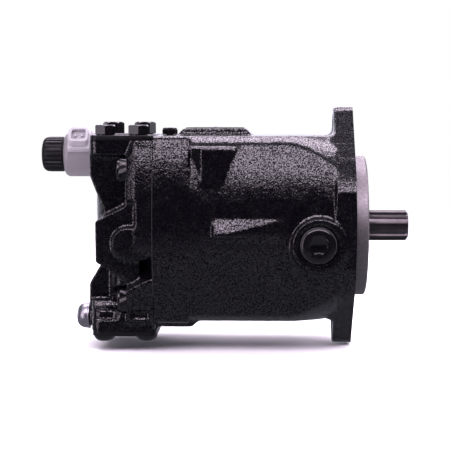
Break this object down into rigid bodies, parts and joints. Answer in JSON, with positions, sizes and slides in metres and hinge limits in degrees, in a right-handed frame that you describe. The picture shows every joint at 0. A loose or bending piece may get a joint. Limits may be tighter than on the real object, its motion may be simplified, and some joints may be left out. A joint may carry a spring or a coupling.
{
  "type": "axial piston pump",
  "caption": "Variable swashplate axial piston pump with a two-ear mounting flange, splined shaft, flanged top and bottom ports and an electric pressure control at the rear.",
  "frame": {"origin": "centre of the mounting flange's front face, on the shaft axis", "axes": "+X along the shaft, out of the driven end; +Z towards the pressure port; +Y towards the control valve"},
  "size_m": [0.2796, 0.1512, 0.174],
  "materials": {
    "casting_paint": "gloss black paint over a sand-cast grain",
    "machined_iron": "bare turned iron with fine tool marks",
    "shaft_steel": "hardened ground steel",
    "bearing_steel": "polished bearing steel",
    "bronze": "machined bronze",
    "black_screw": "black oxide with oil",
    "black_plastic": "moulded black plastic",
    "seal_rubber": "nitrile rubber",
    "gasket": "pressed fibre gasket",
    "zinc": "clear zinc plating",
    "coil_can": "satin zinc-nickel plated sheet",
    "connector_grey": "light grey moulded plastic",
    "spring_steel": "drawn spring wire",
    "plate_black": "blank anodised name plate"
  },
  "bodies": {
    "case": {"housing": "casting_paint", "port_plate": "casting_paint", "case_gasket": "gasket", "port_plate_screws": "black_screw", "shaft_seal": "seal_rubber", "seal_circlip": "spring_steel", "bearing_cups": "bearing_steel", "valve_plate": "bearing_steel", "cradle_bearings": "bronze", "bias_spring": "spring_steel", "control_valve_body": "casting_paint", "control_valve_screws": "black_screw", "valve_spring": "spring_steel", "solenoid_tube": "zinc", "solenoid_coil": "coil_can", "solenoid_nut": "black_plastic", "solenoid_connector": "connector_grey", "drain_plug": "black_screw", "drain_plug_seal": "seal_rubber", "top_plug": "black_screw", "rear_cap_plug": "zinc", "b_port_cover": "black_plastic", "b_port_screws": "black_screw", "s_port_cover": "black_plastic", "s_port_screws": "black_screw", "name_plate": "plate_black"},
    "shaft_group": {"drive_shaft": "shaft_steel", "cylinder_block": "bronze", "retaining_ball": "bronze", "pressure_pins": "bearing_steel", "centre_spring": "spring_steel", "spring_washers": "spring_steel", "bearing_cones": "bearing_steel"},
    "rollers": {"bearing_rollers": "bearing_steel"},
    "swash": {"swashplate": "shaft_steel"},
    "retainer": {"retainer_plate": "shaft_steel"},
    "bias": {"bias_piston": "bearing_steel"},
    "stroke": {"stroke_piston": "bearing_steel"},
    "spool": {"control_spool": "bearing_steel"},
    "solenoid_armature": {"armature": "shaft_steel"},
    "adjuster": {"pressure_adjuster": "zinc"},
    "locknut": {"adjuster_locknut": "zinc"},
    "slipper_1": {"slipper_1": "bronze"},
    "piston_1": {"piston_1": "bearing_steel"},
    "slipper_2": {"slipper_2": "bronze"},
    "piston_2": {"piston_2": "bearing_steel"},
    "slipper_3": {"slipper_3": "bronze"},
    "piston_3": {"piston_3": "bearing_steel"},
    "slipper_4": {"slipper_4": "bronze"},
    "piston_4": {"piston_4": "bearing_steel"},
    "slipper_5": {"slipper_5": "bronze"},
    "piston_5": {"piston_5": "bearing_steel"},
    "slipper_6": {"slipper_6": "bronze"},
    "piston_6": {"piston_6": "bearing_steel"},
    "slipper_7": {"slipper_7": "bronze"},
    "piston_7": {"piston_7": "bearing_steel"},
    "slipper_8": {"slipper_8": "bronze"},
    "piston_8": {"piston_8": "bearing_steel"},
    "slipper_9": {"slipper_9": "bronze"},
    "piston_9": {"piston_9": "bearing_steel"}
  },
  "joints": [
    {"name": "shaft_spin", "type": "hinge", "parent": "case", "child": "shaft_group", "pos_m": [0, 0, 0], "axis": [1, 0, 0], "continuous": true},
    {"name": "roller_spin", "type": "hinge", "parent": "case", "child": "rollers", "pos_m": [0, 0, 0], "axis": [1, 0, 0], "continuous": true},
    {"name": "swash_tilt", "type": "hinge", "parent": "case", "child": "swash", "pos_m": [-0.076, 0, 0], "axis": [0, 0, 1], "range_deg": [0, 13.5]},
    {"name": "retainer_spin", "type": "hinge", "parent": "swash", "child": "retainer", "pos_m": [-0.076, 0, 0], "axis": [1, 0, 0], "continuous": true},
    {"name": "bias_slide", "type": "slide", "parent": "case", "child": "bias", "axis": [1, 0, 0], "range_m": [0, 0.0047], "deforming": ["bias_spring"]},
    {"name": "stroke_slide", "type": "slide", "parent": "case", "child": "stroke", "axis": [1, 0, 0], "range_m": [-0.005, 0]},
    {"name": "armature_slide", "type": "slide", "parent": "case", "child": "solenoid_armature", "axis": [1, 0, 0], "range_m": [0, 0.0015], "stiffness_N_per_m": 900, "deforming": ["valve_spring"]},
    {"name": "spool_slide", "type": "slide", "parent": "case", "child": "spool", "axis": [1, 0, 0], "range_m": [0, 0.0015]},
    {"name": "adjuster_turn", "type": "hinge", "parent": "case", "child": "adjuster", "pos_m": [-0.14, 0.068, 0.05], "axis": [1, 0, 0], "range_deg": [-180, 180]},
    {"name": "locknut_turn", "type": "hinge", "parent": "case", "child": "locknut", "pos_m": [-0.138, 0.068, 0.05], "axis": [1, 0, 0], "range_deg": [-180, 180]},
    {"name": "slipper_1_turn", "type": "hinge", "parent": "retainer", "child": "slipper_1", "pos_m": [-0.076, 0, 0.02889], "axis": [1, 0, 0], "continuous": true},
    {"name": "piston_1_tilt", "type": "hinge", "parent": "slipper_1", "child": "piston_1", "pos_m": [-0.076, 0, 0.02889], "axis": [0, 0, 1], "range_deg": [-13.6, 0]},
    {"name": "slipper_2_turn", "type": "hinge", "parent": "retainer", "child": "slipper_2", "pos_m": [-0.076, -0.01857, 0.02213], "axis": [1, 0, 0], "continuous": true},
    {"name": "piston_2_tilt", "type": "hinge", "parent": "slipper_2", "child": "piston_2", "pos_m": [-0.076, -0.01857, 0.02213], "axis": [0, 0, 1], "range_deg": [-13.6, 0]},
    {"name": "slipper_3_turn", "type": "hinge", "parent": "retainer", "child": "slipper_3", "pos_m": [-0.076, -0.02845, 0.00502], "axis": [1, 0, 0], "continuous": true},
    {"name": "piston_3_tilt", "type": "hinge", "parent": "slipper_3", "child": "piston_3", "pos_m": [-0.076, -0.02845, 0.00502], "axis": [0, 0, 1], "range_deg": [-13.6, 0]},
    {"name": "slipper_4_turn", "type": "hinge", "parent": "retainer", "child": "slipper_4", "pos_m": [-0.076, -0.02502, -0.01444], "axis": [1, 0, 0], "continuous": true},
    {"name": "piston_4_tilt", "type": "hinge", "parent": "slipper_4", "child": "piston_4", "pos_m": [-0.076, -0.02502, -0.01444], "axis": [0, 0, 1], "range_deg": [-13.6, 0]},
    {"name": "slipper_5_turn", "type": "hinge", "parent": "retainer", "child": "slipper_5", "pos_m": [-0.076, -0.00988, -0.02715], "axis": [1, 0, 0], "continuous": true},
    {"name": "piston_5_tilt", "type": "hinge", "parent": "slipper_5", "child": "piston_5", "pos_m": [-0.076, -0.00988, -0.02715], "axis": [0, 0, 1], "range_deg": [-13.6, 0]},
    {"name": "slipper_6_turn", "type": "hinge", "parent": "retainer", "child": "slipper_6", "pos_m": [-0.076, 0.00988, -0.02715], "axis": [1, 0, 0], "continuous": true},
    {"name": "piston_6_tilt", "type": "hinge", "parent": "slipper_6", "child": "piston_6", "pos_m": [-0.076, 0.00988, -0.02715], "axis": [0, 0, 1], "range_deg": [-13.6, 0]},
    {"name": "slipper_7_turn", "type": "hinge", "parent": "retainer", "child": "slipper_7", "pos_m": [-0.076, 0.02502, -0.01444], "axis": [1, 0, 0], "continuous": true},
    {"name": "piston_7_tilt", "type": "hinge", "parent": "slipper_7", "child": "piston_7", "pos_m": [-0.076, 0.02502, -0.01444], "axis": [0, 0, 1], "range_deg": [-13.6, 0]},
    {"name": "slipper_8_turn", "type": "hinge", "parent": "retainer", "child": "slipper_8", "pos_m": [-0.076, 0.02845, 0.00502], "axis": [1, 0, 0], "continuous": true},
    {"name": "piston_8_tilt", "type": "hinge", "parent": "slipper_8", "child": "piston_8", "pos_m": [-0.076, 0.02845, 0.00502], "axis": [0, 0, 1], "range_deg": [-13.6, 0]},
    {"name": "slipper_9_turn", "type": "hinge", "parent": "retainer", "child": "slipper_9", "pos_m": [-0.076, 0.01857, 0.02213], "axis": [1, 0, 0], "continuous": true},
    {"name": "piston_9_tilt", "type": "hinge", "parent": "slipper_9", "child": "piston_9", "pos_m": [-0.076, 0.01857, 0.02213], "axis": [0, 0, 1], "range_deg": [-13.6, 0]}
  ],
  "couplings": [
    {"joint": "roller_spin", "follows": "shaft_spin", "ratio": 0.43},
    {"joint": "retainer_spin", "follows": "shaft_spin", "ratio": 1},
    {"joint": "bias_slide", "follows": "swash_tilt", "m_per_rad": 0.019757},
    {"joint": "stroke_slide", "follows": "swash_tilt", "m_per_rad": -0.021},
    {"joint": "spool_slide", "follows": "armature_slide", "ratio": 1},
    {"joint": "slipper_1_turn", "follows": "shaft_spin", "ratio": -1},
    {"joint": "piston_1_tilt", "follows": "swash_tilt", "ratio": -1},
    {"joint": "slipper_2_turn", "follows": "shaft_spin", "ratio": -1},
    {"joint": "piston_2_tilt", "follows": "swash_tilt", "ratio": -1},
    {"joint": "slipper_3_turn", "follows": "shaft_spin", "ratio": -1},
    {"joint": "piston_3_tilt", "follows": "swash_tilt", "ratio": -1},
    {"joint": "slipper_4_turn", "follows": "shaft_spin", "ratio": -1},
    {"joint": "piston_4_tilt", "follows": "swash_tilt", "ratio": -1},
    {"joint": "slipper_5_turn", "follows": "shaft_spin", "ratio": -1},
    {"joint": "piston_5_tilt", "follows": "swash_tilt", "ratio": -1},
    {"joint": "slipper_6_turn", "follows": "shaft_spin", "ratio": -1},
    {"joint": "piston_6_tilt", "follows": "swash_tilt", "ratio": -1},
    {"joint": "slipper_7_turn", "follows": "shaft_spin", "ratio": -1},
    {"joint": "piston_7_tilt", "follows": "swash_tilt", "ratio": -1},
    {"joint": "slipper_8_turn", "follows": "shaft_spin", "ratio": -1},
    {"joint": "piston_8_tilt", "follows": "swash_tilt", "ratio": -1},
    {"joint": "slipper_9_turn", "follows": "shaft_spin", "ratio": -1},
    {"joint": "piston_9_tilt", "follows": "swash_tilt", "ratio": -1}
  ]
}
